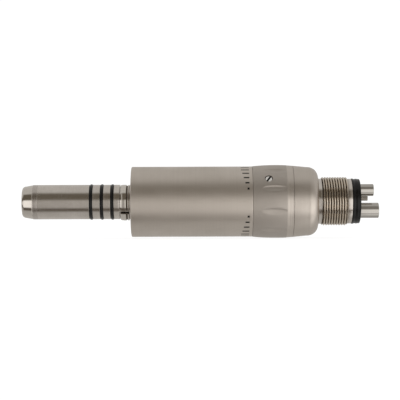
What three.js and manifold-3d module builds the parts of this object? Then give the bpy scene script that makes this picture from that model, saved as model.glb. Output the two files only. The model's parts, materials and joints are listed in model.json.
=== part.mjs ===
// A vane air motor for dental handpieces, as separate pieces: the nose spigot that a handpiece slides
// on, the motor inside its sleeve, the control ring that turns the reversing valve, and the four-hole
// hose connector. Millimetres, +Z up. The origin is the centre of the connector gasket's rear face, and
// +X runs along the motor axis towards the hose, so the nose lies at negative X. Angles about the axis
// start at -Y and turn towards +Z.

import * as THREE from "three";
import { mergeVertices } from "three/addons/utils/BufferGeometryUtils.js";
import Module from "manifold-3d";

const wasm = await Module();
wasm.setup();

// ---- Driving dimensions: stations along X, radii about the motor axis ----

const SPIGOT = { tip: -97.62, radius: 4.95, bore: 3.2, bossFront: -65.9, bossRadius: 5.4 };
const FLANGE = { front: -64.3, rear: -58.6, radius: 9.1, seal: -60.5 };
const NOSE_SEALS = [-77.5, -74.4, -71.4];
const RETAINER = { from: -69.0, to: -66.5, radius: 5.23, bore: 4.7, drop: 0.23, gap: 0.85, gapAngle: -39 };
const SLEEVE = { front: -65.88, rear: -31.08, radius: 10.15, bore: 9.25, mouth: 5.5, wall: 1.3 };
const FRONT_PLATE = { from: -58.5, to: -56.1 };
const CYLINDER = { from: -56.0, to: -42.0, radius: 9.0, bore: 6.2, offset: 0.6 };
const REAR_PLATE = { from: -41.9, to: -36.4, seatFrom: -40.5 };
const WASHER = { station: -36.25, thickness: 0.22, radius: 5.3, bore: 4.2, waves: 3, waveHeight: 0.14 };
const LOCK_NUT = { from: -35.85, to: -34.65, radius: 9.1, bore: 5.0 };
const VALVE_BODY = { from: -34.5, wallTo: -30.0, to: -17.6, radius: 8.95, bore: 5.0 };
const VALVE = { from: -29.9, to: -18.6, radius: 4.9, seal: -28.8 };
const RING = { from: -31.0, to: -19.35, bore: 9.04, sealStations: [-29.6, -20.9], topRadius: 10.55 };
const RING_OUTLINE = [
  [-31.0, 10.19], [-29.4, 10.34], [-28.2, 10.41], [-27.1, 10.49], [-25.9, 10.54], [-24.0, 10.56],
  [-21.9, 10.52], [-20.75, 10.46], [-20.7, 10.38], [-19.35, 10.33],
];
const CAP = { from: -19.27, wall: -14.6, to: -12.1, bore: 9.1, mouth: 7.1 };
const CAP_OUTLINE = [
  [-19.27, 10.32], [-17.7, 10.15], [-16.4, 10.02], [-14.6, 9.9], [-13.8, 9.6], [-12.9, 8.93], [-12.3, 8.0],
  [-12.1, 7.4],
];
const CONNECTOR = {
  from: -17.5, seal: -16.2, flangeTo: -14.75, flangeRadius: 8.9, neck: 6.55, collar: 6.48, to: -2.4,
};
const THREAD = { from: -11.1, to: -3.74, pitch: 0.75, root: 6.58, crest: 7.0, sides: 24 };
const GASKET = { from: -2.3, radius: 6.5 };

const BEARING = {
  radius: 5.5, shaftHole: 2.53, outerTrack: 4.87, innerTrack: 3.13, ball: 0.8, balls: 7, width: 3.8,
};
const BEARING_SEAT = 5.6;
const BALL_CIRCLE = 4.0;
const BEARING_STATIONS = { front: -62.5, rear: -40.4 };

const ROTOR = { from: -55.9, to: -42.1, radius: 5.5, shaft: 2.5, nose: 1.5, noseTip: -79.0, rearTip: -36.2 };
const SHAFT_SHOULDER = -65.5;
const SHAFT_CLEARANCE = 2.8;
const VANE = {
  angles: [82, 172, 262, 352], inner: 2.95, outer: 5.5, thickness: 0.9, slot: 1.0, slotFloor: 2.6,
};
const DOG = { front: -86.0, rear: -74.0, radius: 2.45, bore: 1.6, boreEnd: -81.2, fork: 1.6, forkDepth: 3.0 };
const DOG_PIN = { station: -77.0, radius: 0.5, length: 4.7, travel: 2.0 };

const SCREW = {
  angle: 38.5, station: -26.5, head: 1.02, shank: 0.9, hole: 1.15, top: 10.3, headBase: 9.0, tip: 3.5,
};
const VALVE_SLOT = { from: -27.8, to: -25.2, halfAngle: 92 };
const DETENT = { angle: 217, station: -23.2, ball: 0.8, centre: 8.5, holeFloor: 5.6, hole: 0.9, groove: 9.4 };
const SCALLOPS = { count: 10, first: 22, station: -24.9, halfLength: 8.66, halfWidth: 2.13, depth: 0.2 };

const TUBES = {
  exhaust_tube: { y: -1.9, z: -2.67, radius: 2.2, bore: 1.85, end: 5.6 },
  drive_air_tube: { y: -1.6, z: 3.19, radius: 1.74, bore: 1.3, end: 4.2 },
  water_tube: { y: 3.6, z: 0.9, radius: 0.8, bore: 0.5, end: 2.9 },
  chip_air_tube: { y: 3.7, z: -2.3, radius: 0.8, bore: 0.5, end: 2.9 },
};
const TUBE_START = -12.0;
const TUBE_CLEARANCE = 0.07;
const SPRAY_LINES = {
  spray_water_line: { angle: 195, outlet: -75.95, source: "water_tube" },
  spray_air_line: { angle: 239, outlet: -72.9, source: "chip_air_tube" },
};
const LINE = { circle: 7.1, radius: 0.5, bore: 0.3, hole: 0.6, from: -61.8, to: -15.8 };
const SPRAY = { circle: 3.75, radius: 0.28, turn: -63.4 };
const DOWEL = { angle: 90, circle: 7.8, radius: 0.6, hole: 0.68, from: -58.3, to: -40.95 };
const INLETS = { angles: [127, 307], circle: 7.6, radius: 0.8, frontEnd: -49.5, valveCircle: 2.9 };
const EXHAUST = {
  slots: [-51.5, -49, -46.5], slotWidth: 1.0, halfAngle: 28, channelFloor: 8.2, channelFrom: -53,
};

const SIDES = { outer: 32, inner: 24, small: 20, tiny: 8, seal: 6 };

// ---- Geometry helpers ----

const radians = THREE.MathUtils.degToRad;

// The point at an angle and a radius about the motor axis.
function around(angle, radius, x) {
  return new THREE.Vector3(x, -Math.cos(radians(angle)) * radius, Math.sin(radians(angle)) * radius);
}

// Turns a shape that was made pointing along +Z at angle 90 to another angle about the axis.
function swing(geometry, angle) {
  return geometry.rotateX(radians(90 - angle));
}

// Merges shared corners and drops the triangles that collapse there, so that the surface closes.
function closed(geometry) {
  geometry.deleteAttribute("normal");
  geometry.deleteAttribute("uv");
  const merged = mergeVertices(geometry, 1e-4);
  const kept = [];
  for (let i = 0; i < merged.index.count; i += 3) {
    const [a, b, c] = [0, 1, 2].map((k) => merged.index.getX(i + k));
    if (a !== b && b !== c && c !== a) kept.push(a, b, c);
  }
  merged.setIndex(kept);
  return merged;
}

function toSolid(geometry) {
  const merged = closed(geometry);
  const vertProperties = new Float32Array(merged.getAttribute("position").array);
  const triVerts = new Uint32Array(merged.index.array);
  return new wasm.Manifold(new wasm.Mesh({ numProp: 3, vertProperties, triVerts }));
}

function toGeometry(solid) {
  const { vertProperties, triVerts } = solid.getMesh();
  return new THREE.BufferGeometry()
    .setAttribute("position", new THREE.BufferAttribute(vertProperties, 3))
    .setIndex(new THREE.BufferAttribute(triVerts, 1));
}

function cut(body, tools) {
  return toGeometry(tools.reduce((solid, tool) => solid.subtract(toSolid(tool)), toSolid(body)));
}

// A body of revolution about the motor axis, from [x, radius] corners: towards +X along the outside and back
// along the inside, or from the axis to the axis.
function turned(profile, sides = SIDES.inner) {
  const points = profile.map(([x, radius]) => new THREE.Vector2(radius, x));
  if (profile[0][1] > 0) points.push(points[0].clone());
  return new THREE.LatheGeometry(points, sides).rotateZ(-Math.PI / 2);
}

function sleeve(from, to, radius, bore, sides = SIDES.inner) {
  const profile = [[from, radius], [to, radius], [to, bore], [from, bore]];
  return turned(profile, sides);
}

function disc(from, to, radius, sides = SIDES.inner) {
  return turned([[from, 0], [from, radius], [to, radius], [to, 0]], sides);
}

// A round rod between two points.
function rod(from, to, radius, sides = SIDES.tiny) {
  const run = new THREE.Vector3().subVectors(to, from);
  const turn = new THREE.Quaternion().setFromUnitVectors(new THREE.Vector3(0, 1, 0), run.clone().normalize());
  const middle = from.clone().lerp(to, 0.5);
  return new THREE.CylinderGeometry(radius, radius, run.length(), sides)
    .applyQuaternion(turn)
    .translate(middle.x, middle.y, middle.z);
}

// A rod parallel to the axis, at an angle and a distance from it.
function axialRod(angle, circle, [from, to], radius, sides) {
  return rod(around(angle, circle, from), around(angle, circle, to), radius, sides);
}

// A rod pointing straight out of the axis.
function radialRod(angle, [inner, outer], x, radius, sides) {
  return rod(around(angle, inner, x), around(angle, outer, x), radius, sides);
}

// A sector of a ring about the axis, between two stations, two radii and two angles.
function sector([from, to], [inner, outer], [first, last], curveSegments = 12) {
  const shape = new THREE.Shape();
  const [start, end] = [-radians(90 + last), -radians(90 + first)];
  shape.absarc(0, 0, outer, start, end, false);
  shape.absarc(0, 0, inner, end, start, true);
  return new THREE.ExtrudeGeometry(shape, { depth: to - from, bevelEnabled: false, curveSegments })
    .rotateY(Math.PI / 2)
    .translate(from, 0, 0);
}

// A rubber ring of round section about the axis.
function sealRing(station, outer, section, sides = SIDES.inner) {
  const profile = [];
  for (let i = 0; i < SIDES.seal; i++) {
    const turn = ((i + 0.5) * 2 * Math.PI) / SIDES.seal;
    const [along, out] = [-Math.cos(turn), Math.sin(turn) - 1];
    profile.push([station + (section / 2) * along, outer + (section / 2) * out]);
  }
  return turned(profile, sides);
}

// The corners of a square groove in a turned profile that runs towards +X.
function groove(station, width, surface, floor) {
  const [from, to] = [station - width / 2, station + width / 2];
  return [[from, surface], [from, floor], [to, floor], [to, surface]];
}

// A wire spring about an axis through the origin along +X, as one closed solid.
function coilSpring(from, to, meanRadius, wireRadius, turns, stepsPerTurn = 8) {
  class Helix extends THREE.Curve {
    getPoint(t, target = new THREE.Vector3()) {
      const angle = t * turns * 2 * Math.PI;
      return target.set(
        from + wireRadius + (to - from - 2 * wireRadius) * t,
        meanRadius * Math.cos(angle),
        meanRadius * Math.sin(angle),
      );
    }
  }
  const section = new THREE.Shape();
  section.absarc(0, 0, wireRadius, 0, 2 * Math.PI, false);
  return new THREE.ExtrudeGeometry(section, {
    extrudePath: new Helix(),
    steps: turns * stepsPerTurn,
    curveSegments: 2,
    bevelEnabled: false,
  });
}

// ---- Finishes ----

const finish = (color, roughness, metalness) =>
  new THREE.MeshStandardMaterial({ color, roughness, metalness });
const SATIN = finish(0xa39a90, 0.38, 1);
const TURNED_STEEL = finish(0x9d958b, 0.3, 1);
const POLISHED = finish(0xc9c6c1, 0.12, 1);
const BEARING_STEEL = finish(0xb8bcc0, 0.15, 1);
const PLATE_STEEL = finish(0x8f9296, 0.35, 1);
const BRASS = finish(0xb08d4a, 0.3, 1);
const SPRING_STEEL = finish(0x74787c, 0.3, 1);
const RUBBER = finish(0x141414, 0.7, 0);
const RESIN = finish(0x4a3526, 0.6, 0);
const NYLON = finish(0xd9cfb4, 0.5, 0);

const motor = new THREE.Group();

function add(name, geometry, material) {
  const mesh = new THREE.Mesh(closed(geometry), material);
  mesh.name = name;
  motor.add(mesh);
}

// ---- Nose ----

function spigot() {
  const { tip, radius, bore, bossFront, bossRadius } = SPIGOT;
  const nose = [
    [tip, bore + 0.15], [tip + 0.1, 3.65], [tip + 0.35, 4.09], [tip + 0.64, 4.34], [tip + 0.95, 4.41],
    [tip + 3.0, radius],
  ];
  const sealGrooves = NOSE_SEALS.flatMap((station) => groove(station, 1.2, radius, 4.15));
  const retainerGroove = groove((RETAINER.from + RETAINER.to) / 2, 2.7, radius, 4.35);
  const base = [[bossFront, radius], [bossFront, bossRadius], [FLANGE.front, bossRadius]];
  const flangeSeat = [
    [FLANGE.front, FLANGE.radius], ...groove(FLANGE.seal, 1.2, FLANGE.radius, 8.15),
    [FLANGE.rear, FLANGE.radius],
    [FLANGE.rear, BEARING_SEAT], [BEARING_STATIONS.front - 0.1, BEARING_SEAT],
    [BEARING_STATIONS.front - 0.1, bore], [tip + 0.2, bore],
  ];
  const body = turned([...nose, ...sealGrooves, ...retainerGroove, ...base, ...flangeSeat]);
  const passages = Object.values(SPRAY_LINES).flatMap(({ angle, outlet }) => [
    axialRod(angle, LINE.circle, [LINE.from - 0.2, FLANGE.rear + 1], LINE.hole),
    axialRod(angle, LINE.circle, [SPRAY.turn, LINE.from], SPRAY.radius),
    radialRod(angle, [SPRAY.circle, LINE.circle], SPRAY.turn, SPRAY.radius),
    axialRod(angle, SPRAY.circle, [outlet, SPRAY.turn], SPRAY.radius),
    radialRod(angle, [SPRAY.circle, radius + 1], outlet, SPRAY.radius + 0.02),
  ]);
  return cut(body, passages);
}

function retainingSpringRing() {
  const { from, to, radius, bore, drop, gap, gapAngle } = RETAINER;
  const corner = 0.15;
  const profile = [
    [from, radius - corner], [from + corner, radius], [to - corner, radius], [to, radius - corner],
    [to, bore], [from, bore],
  ];
  const slit = new THREE.BoxGeometry(to - from + 2, gap, 3).translate((from + to) / 2, 0, radius);
  return cut(turned(profile), [swing(slit, gapAngle)]).translate(0, 0, -drop);
}

add("spigot", spigot(), TURNED_STEEL);
NOSE_SEALS.forEach((station, i) => add(`spigot_seal_${i + 1}`, sealRing(station, 5.17, 0.96), RUBBER));
add("retaining_spring_ring", retainingSpringRing(), POLISHED);
add("flange_seal", sealRing(FLANGE.seal, 9.18, 0.86), RUBBER);

// ---- Sleeve ----

function outerSleeve() {
  const { front, rear, radius, bore, mouth, wall } = SLEEVE;
  return turned(
    [
      [front, radius - 0.3], [front + 0.09, radius - 0.09], [front + 0.3, radius], [rear - 1.1, radius],
      [rear, radius + 0.03], [rear, bore], [front + wall, bore], [front + wall, mouth], [front, mouth],
    ],
    SIDES.outer,
  );
}

add("outer_sleeve", outerSleeve(), SATIN);

// ---- Ball bearings ----

function bearing(place, from) {
  const { radius, shaftHole, outerTrack, innerTrack, ball, balls, width } = BEARING;
  const to = from + width;
  const middle = from + width / 2;
  add(`${place}_bearing_outer_race`, sleeve(from, to, radius, outerTrack), BEARING_STEEL);
  add(`${place}_bearing_inner_race`, sleeve(from, to, innerTrack, shaftHole), BEARING_STEEL);
  const pockets = [];
  for (let i = 0; i < balls; i++) {
    const angle = (i * 360) / balls;
    const { x, y, z } = around(angle, BALL_CIRCLE, middle);
    const sphere = new THREE.IcosahedronGeometry(ball, 1).translate(x, y, z);
    add(`${place}_bearing_ball_${i + 1}`, sphere, BEARING_STEEL);
    pockets.push(radialRod(angle, [2, 6], middle, ball + 0.15, 6));
  }
  const cage = sleeve(middle - 1.25, middle + 1.25, BALL_CIRCLE + 0.25, BALL_CIRCLE - 0.25);
  add(`${place}_bearing_cage`, cut(cage, pockets), NYLON);
}

bearing("front", BEARING_STATIONS.front);
bearing("rear", BEARING_STATIONS.rear);

// ---- Rotor, vanes and drive dog ----

function rotor() {
  const { from, to, radius, shaft, nose, noseTip, rearTip } = ROTOR;
  const body = turned([
    [noseTip, 0], [noseTip, nose - 0.2], [noseTip + 0.2, nose],
    [SHAFT_SHOULDER, nose], [SHAFT_SHOULDER, shaft],
    [from, shaft], [from, radius], [to, radius], [to, shaft], [rearTip, shaft], [rearTip, 0],
  ]);
  const { slot, slotFloor } = VANE;
  const reach = radius + 1 - slotFloor;
  const slots = VANE.angles.map((angle) => {
    const box = new THREE.BoxGeometry(to - from + 0.6, slot, reach);
    return swing(box.translate((from + to) / 2, 0, slotFloor + reach / 2), angle);
  });
  const slotLength = DOG_PIN.travel + 2 * DOG_PIN.radius + 0.4;
  const pinSlot = new THREE.BoxGeometry(slotLength, 2 * nose + 1, 2 * DOG_PIN.radius + 0.2);
  pinSlot.translate(DOG_PIN.station + DOG_PIN.travel / 2, 0, 0);
  return cut(body, [...slots, pinSlot]);
}

function vane(angle) {
  const length = ROTOR.to - ROTOR.from - 0.2;
  const height = VANE.outer - VANE.inner;
  const plate = new THREE.BoxGeometry(length, VANE.thickness, height);
  plate.translate((ROTOR.from + ROTOR.to) / 2, 0, VANE.inner + height / 2);
  return swing(plate, angle);
}

function driveDog() {
  const { front, rear, radius, bore, boreEnd, fork, forkDepth } = DOG;
  const profile = [
    [front, 0], [front, radius - 0.3], [front + 0.3, radius], [rear, radius], [rear, bore], [boreEnd, bore],
    [boreEnd, 0],
  ];
  const forkSlot = new THREE.BoxGeometry(2 * forkDepth, fork, 2 * radius + 1).translate(front, 0, 0);
  const pinHole = rod(around(0, 4, DOG_PIN.station), around(180, 4, DOG_PIN.station), DOG_PIN.radius + 0.06);
  return cut(turned(profile, SIDES.small), [forkSlot, pinHole]);
}

function dogPin() {
  const half = DOG_PIN.length / 2;
  return rod(around(0, half, DOG_PIN.station), around(180, half, DOG_PIN.station), DOG_PIN.radius);
}

add("rotor", rotor(), PLATE_STEEL);
VANE.angles.forEach((angle, i) => add(`vane_${i + 1}`, vane(angle), RESIN));
add("drive_dog", driveDog(), BEARING_STEEL);
add("dog_pin", dogPin(), BEARING_STEEL);
add("dog_spring", coilSpring(DOG.rear + 0.1, SHAFT_SHOULDER - 0.1, 2.05, 0.24, 5), SPRING_STEEL);

// ---- Cylinder and end plates ----

const lineHoles = (from, to) =>
  Object.values(SPRAY_LINES).map(({ angle }) => axialRod(angle, LINE.circle, [from - 1, to + 1], LINE.hole));
const dowelHole = (from, to) => axialRod(DOWEL.angle, DOWEL.circle, [from, to], DOWEL.hole);
const inletHoles = (from, to) =>
  INLETS.angles.map((angle) => axialRod(angle, INLETS.circle, [from, to], INLETS.radius));
const exhaustChannel = (from, to) =>
  sector(
    [from, to],
    [EXHAUST.channelFloor, CYLINDER.radius + 1],
    [SCREW.angle - EXHAUST.halfAngle, SCREW.angle + EXHAUST.halfAngle],
  );

function airCylinder() {
  const { from, to, radius, bore, offset } = CYLINDER;
  const centre = around(SCREW.angle, offset, 0);
  const chamber = disc(from - 1, to + 1, bore).translate(0, centre.y, centre.z);
  const ports = INLETS.angles.map((angle) =>
    radialRod(angle, [bore - 0.8, INLETS.circle], INLETS.frontEnd + 1.2, INLETS.radius - 0.1),
  );
  const slots = EXHAUST.slots.map((x) =>
    sector(
      [x - EXHAUST.slotWidth / 2, x + EXHAUST.slotWidth / 2],
      [bore - 1, radius],
      [SCREW.angle - EXHAUST.halfAngle + 4, SCREW.angle + EXHAUST.halfAngle - 4],
    ),
  );
  return cut(disc(from, to, radius), [
    chamber, ...ports, ...slots, ...lineHoles(from, to), ...inletHoles(INLETS.frontEnd, to + 1),
    dowelHole(from - 1, to + 1), exhaustChannel(EXHAUST.channelFrom, to + 1),
  ]);
}

function frontEndPlate() {
  const { from, to } = FRONT_PLATE;
  const plate = sleeve(from, to, CYLINDER.radius, SHAFT_CLEARANCE);
  return cut(plate, [...lineHoles(from, to), dowelHole(DOWEL.from - 0.1, to + 1)]);
}

function rearEndPlate() {
  const { from, to, seatFrom } = REAR_PLATE;
  const plate = turned([
    [from, CYLINDER.radius], [to, CYLINDER.radius], [to, BEARING_SEAT], [seatFrom, BEARING_SEAT],
    [seatFrom, SHAFT_CLEARANCE], [from, SHAFT_CLEARANCE],
  ]);
  return cut(plate, [
    ...lineHoles(from, to), ...inletHoles(from - 1, to + 1), dowelHole(from - 1, DOWEL.to + 0.1),
    exhaustChannel(from - 1, to + 1),
  ]);
}

function preloadWaveWasher() {
  const { station, thickness, radius, bore, waves, waveHeight } = WASHER;
  const washer = sleeve(station - thickness / 2, station + thickness / 2, radius, bore);
  const position = washer.getAttribute("position");
  for (let i = 0; i < position.count; i++) {
    const angle = Math.atan2(position.getZ(i), position.getY(i));
    position.setX(i, position.getX(i) + waveHeight * Math.cos(waves * angle));
  }
  return washer;
}

function motorLockNut() {
  const { from, to, radius, bore } = LOCK_NUT;
  return cut(sleeve(from, to, radius, bore), [
    ...lineHoles(from, to), ...inletHoles(from - 1, to + 1), exhaustChannel(from - 1, to + 1),
  ]);
}

add("front_end_plate", frontEndPlate(), PLATE_STEEL);
add("air_cylinder", airCylinder(), PLATE_STEEL);
add("rear_end_plate", rearEndPlate(), PLATE_STEEL);
add("locating_pin", axialRod(DOWEL.angle, DOWEL.circle, [DOWEL.from, DOWEL.to], DOWEL.radius), BEARING_STEEL);
add("preload_wave_washer", preloadWaveWasher(), SPRING_STEEL);
add("motor_lock_nut", motorLockNut(), BRASS);

// ---- Reversing valve and control ring ----

function valveBody() {
  const { from, wallTo, to, radius, bore } = VALVE_BODY;
  const profile = [
    [from, 0], [from, radius], ...RING.sealStations.flatMap((x) => groove(x, 1.1, radius, 8.0)), [to, radius],
    [to, bore], [wallTo, bore], [wallTo, 0],
  ];
  const screwSlot = sector(
    [VALVE_SLOT.from, VALVE_SLOT.to],
    [bore - 1, radius + 1],
    [SCREW.angle - VALVE_SLOT.halfAngle, SCREW.angle + VALVE_SLOT.halfAngle],
    16,
  );
  const ports = INLETS.angles.map((angle) =>
    rod(
      around(angle, INLETS.valveCircle, wallTo + 0.2),
      around(angle, INLETS.circle, from - 0.2),
      INLETS.radius,
    ),
  );
  const detentHole = radialRod(DETENT.angle, [DETENT.holeFloor, radius + 1], DETENT.station, DETENT.hole);
  return cut(turned(profile), [screwSlot, ...ports, detentHole, ...lineHoles(from, to)]);
}

function reversingValve() {
  const { from, to, radius, seal } = VALVE;
  const sealGroove = groove(seal, 1.0, radius, 4.1);
  const drum = turned([[from, 0], [from, radius], ...sealGroove, [to, radius], [to, 0]]);
  const passages = INLETS.angles.map((angle) =>
    axialRod(angle, INLETS.valveCircle, [from - 1, to + 1], INLETS.radius + 0.3),
  );
  const screwHole = radialRod(SCREW.angle, [SCREW.tip - 0.2, radius + 1], SCREW.station, SCREW.shank + 0.15);
  return cut(drum, [...passages, screwHole]);
}

function controlRing() {
  const { from, to, bore, topRadius } = RING;
  const detentTrack = [
    [DETENT.station + 1.2, bore], [DETENT.station + 0.9, DETENT.groove],
    [DETENT.station - 0.9, DETENT.groove], [DETENT.station - 1.2, bore],
  ];
  const body = turned([...RING_OUTLINE, [to, bore], ...detentTrack, [from, bore]], SIDES.outer);
  const { count, first, station, halfLength, halfWidth, depth } = SCALLOPS;
  const scallops = [];
  for (let i = 0; i < count; i++) {
    const scoop = new THREE.SphereGeometry(1, 24, 16).scale(halfLength, halfWidth, halfWidth);
    scoop.translate(station, 0, topRadius + halfWidth - depth);
    scallops.push(swing(scoop, first + (i * 360) / count));
  }
  const screwHole = radialRod(SCREW.angle, [bore - 1, 12], SCREW.station, SCREW.hole, 16);
  return cut(body, [...scallops, screwHole]);
}

function controlRingScrew() {
  const { angle, station, head, shank, top, headBase, tip } = SCREW;
  const profile = [[tip, 0], [tip, shank], [headBase, shank], [headBase, head], [top, head], [top, 0]];
  const driverSlot = new THREE.BoxGeometry(0.7, 0.35, 3).rotateX(radians(60)).translate(top, 0, 0);
  return swing(cut(turned(profile, 16), [driverSlot]).rotateY(-Math.PI / 2), angle).translate(station, 0, 0);
}

function detentSpring() {
  const spring = coilSpring(DETENT.holeFloor + 0.08, DETENT.centre - DETENT.ball - 0.08, 0.58, 0.13, 4);
  return swing(spring.rotateY(-Math.PI / 2), DETENT.angle).translate(DETENT.station, 0, 0);
}

function detentBall() {
  const { x, y, z } = around(DETENT.angle, DETENT.centre, DETENT.station);
  return new THREE.IcosahedronGeometry(DETENT.ball, 1).translate(x, y, z);
}

add("valve_body", valveBody(), BRASS);
add("reversing_valve", reversingValve(), BRASS);
add("reversing_valve_seal", sealRing(VALVE.seal, 4.95, 0.8), RUBBER);
add("ring_front_seal", sealRing(RING.sealStations[0], 8.97, 0.84), RUBBER);
add("ring_rear_seal", sealRing(RING.sealStations[1], 8.97, 0.84), RUBBER);
add("detent_ball", detentBall(), BEARING_STEEL);
add("detent_spring", detentSpring(), SPRING_STEEL);
add("control_ring", controlRing(), SATIN);
add("control_ring_screw", controlRingScrew(), POLISHED);

// ---- Rear cap and hose connector ----

function rearCap() {
  const { from, wall, to, bore, mouth } = CAP;
  return turned([...CAP_OUTLINE, [to, mouth], [wall, mouth], [wall, bore], [from, bore]], SIDES.outer);
}

// A threaded band: rows of corners that follow the helix, root and crest in turn, held between two flat ends.
function threadBand() {
  const { from, to, pitch, root, crest, sides } = THREAD;
  const rows = Math.ceil((2 * (to - from)) / pitch) + 4;
  const positions = [];
  for (let row = 0; row < rows; row++) {
    for (let side = 0; side < sides; side++) {
      const x = THREE.MathUtils.clamp(from + ((row - 2 + (2 * side) / sides) * pitch) / 2, from, to);
      const rise = Math.min(1, (x - from) / pitch, (to - x) / pitch);
      const radius = row % 2 ? root + (crest - root) * rise : root;
      const turn = (side / sides) * 2 * Math.PI;
      positions.push(x, radius * Math.cos(turn), radius * Math.sin(turn));
    }
  }
  // One turn round the axis carries a row on to the row after next.
  const corner = (row, side) => Math.min(side < sides ? row : row + 2, rows - 1) * sides + (side % sides);
  const [frontCentre, rearCentre] = [rows * sides, rows * sides + 1];
  positions.push(from, 0, 0, to, 0, 0);
  const faces = [];
  for (let side = 0; side < sides; side++) {
    for (let row = 0; row + 1 < rows; row++) {
      const [a, b] = [corner(row, side), corner(row, side + 1)];
      const [c, d] = [corner(row + 1, side + 1), corner(row + 1, side)];
      faces.push(a, b, c, a, c, d);
    }
    faces.push(frontCentre, corner(0, side + 1), corner(0, side));
    faces.push(rearCentre, corner(rows - 1, side), corner(rows - 1, side + 1));
  }
  return new THREE.BufferGeometry()
    .setAttribute("position", new THREE.Float32BufferAttribute(positions, 3))
    .setIndex(faces);
}

const parallelRod = ([y, z], [from, to], radius, sides) =>
  rod(new THREE.Vector3(from, y, z), new THREE.Vector3(to, y, z), radius, sides);

// The clearance holes for the four tubes, through everything between two stations.
const tubeHoles = (from, to) =>
  Object.values(TUBES).map(({ y, z, radius }) =>
    parallelRod([y, z], [from, to], radius + TUBE_CLEARANCE, SIDES.small),
  );

function hoseConnector() {
  const { from, seal, flangeTo, flangeRadius, neck, collar, to } = CONNECTOR;
  const core = turned([
    [from, 0], [from, flangeRadius], ...groove(seal, 1.0, flangeRadius, 8.0), [flangeTo, flangeRadius],
    [flangeTo, neck], [THREAD.from - 0.1, neck], [THREAD.from + 0.1, THREAD.root - 0.1],
    [THREAD.to - 0.1, THREAD.root - 0.1], [THREAD.to + 0.3, collar], [to, collar], [to, 0],
  ]);
  const crossings = Object.values(SPRAY_LINES).flatMap(({ angle, source }) => {
    const socket = around(angle, LINE.circle, LINE.to);
    const hole = new THREE.Vector3(LINE.to, TUBES[source].y, TUBES[source].z);
    return [rod(hole, socket, LINE.bore), axialRod(angle, LINE.circle, [from - 1, LINE.to + 0.3], LINE.hole)];
  });
  const threaded = toGeometry(toSolid(core).add(toSolid(threadBand())));
  return cut(threaded, [...tubeHoles(from - 1, to + 1), ...crossings]);
}

function tube({ y, z, radius, bore, end }) {
  return sleeve(TUBE_START, end, radius, bore, radius > 1 ? SIDES.small : 12).translate(0, y, z);
}

function sprayLine({ angle }) {
  const { y, z } = around(angle, LINE.circle, 0);
  return sleeve(LINE.from, LINE.to, LINE.radius, LINE.bore, SIDES.tiny).translate(0, y, z);
}

add("rear_cap", rearCap(), SATIN);
add("hose_connector", hoseConnector(), TURNED_STEEL);
add("connector_seal", sealRing(CONNECTOR.seal, 9.0, 0.84), RUBBER);
add("connector_gasket", cut(disc(GASKET.from, 0, GASKET.radius), tubeHoles(GASKET.from - 1, 1)), RUBBER);
for (const [name, size] of Object.entries(TUBES)) add(name, tube(size), POLISHED);
for (const [name, route] of Object.entries(SPRAY_LINES)) add(name, sprayLine(route), POLISHED);

export default motor;
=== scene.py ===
"""The looks of a dental air motor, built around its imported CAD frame.

Lengths below are in millimetres unless a name says otherwise, and turn into metres where a mesh is made. The motor axis
is the X axis. Angles about it start at -Y, the side that the camera sees, and turn towards +Z.
"""

import json
import math

import bpy
from mathutils import Matrix, Vector


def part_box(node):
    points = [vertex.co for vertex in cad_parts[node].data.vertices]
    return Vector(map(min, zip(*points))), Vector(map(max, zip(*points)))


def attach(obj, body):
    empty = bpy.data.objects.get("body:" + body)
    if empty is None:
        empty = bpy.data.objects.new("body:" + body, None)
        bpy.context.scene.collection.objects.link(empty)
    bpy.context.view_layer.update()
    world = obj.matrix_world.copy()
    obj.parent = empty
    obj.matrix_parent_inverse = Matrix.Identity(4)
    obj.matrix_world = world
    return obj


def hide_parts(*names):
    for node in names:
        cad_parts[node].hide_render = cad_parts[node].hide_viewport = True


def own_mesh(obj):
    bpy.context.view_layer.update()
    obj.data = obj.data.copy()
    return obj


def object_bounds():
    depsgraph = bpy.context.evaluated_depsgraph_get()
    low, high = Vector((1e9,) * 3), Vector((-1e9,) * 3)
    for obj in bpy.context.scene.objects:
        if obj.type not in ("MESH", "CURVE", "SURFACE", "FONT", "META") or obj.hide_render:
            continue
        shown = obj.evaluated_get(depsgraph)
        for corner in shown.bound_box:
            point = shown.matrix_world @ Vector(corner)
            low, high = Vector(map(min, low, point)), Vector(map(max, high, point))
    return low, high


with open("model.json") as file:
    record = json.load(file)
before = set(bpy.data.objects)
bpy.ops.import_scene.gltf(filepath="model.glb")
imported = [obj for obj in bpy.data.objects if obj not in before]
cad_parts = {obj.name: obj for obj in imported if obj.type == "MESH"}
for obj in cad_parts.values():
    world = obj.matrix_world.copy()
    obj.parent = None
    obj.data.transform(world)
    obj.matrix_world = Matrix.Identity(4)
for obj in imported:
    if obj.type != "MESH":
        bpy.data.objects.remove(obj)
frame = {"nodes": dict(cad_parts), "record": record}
cad_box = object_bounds()

MM = 0.001
FINE = 192
MEDIUM = 96
SMALL = 48

# ---- Where things are, from the frame ----


def span(node):
    """A CAD node's first and last station along X and its largest radius, in mm."""
    low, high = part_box(node)
    return low.x / MM, high.x / MM, max(high.z, -low.z) / MM


def centre(node):
    """The middle of a CAD node's box, in mm."""
    low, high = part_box(node)
    return (low + high) / 2 / MM


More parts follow.
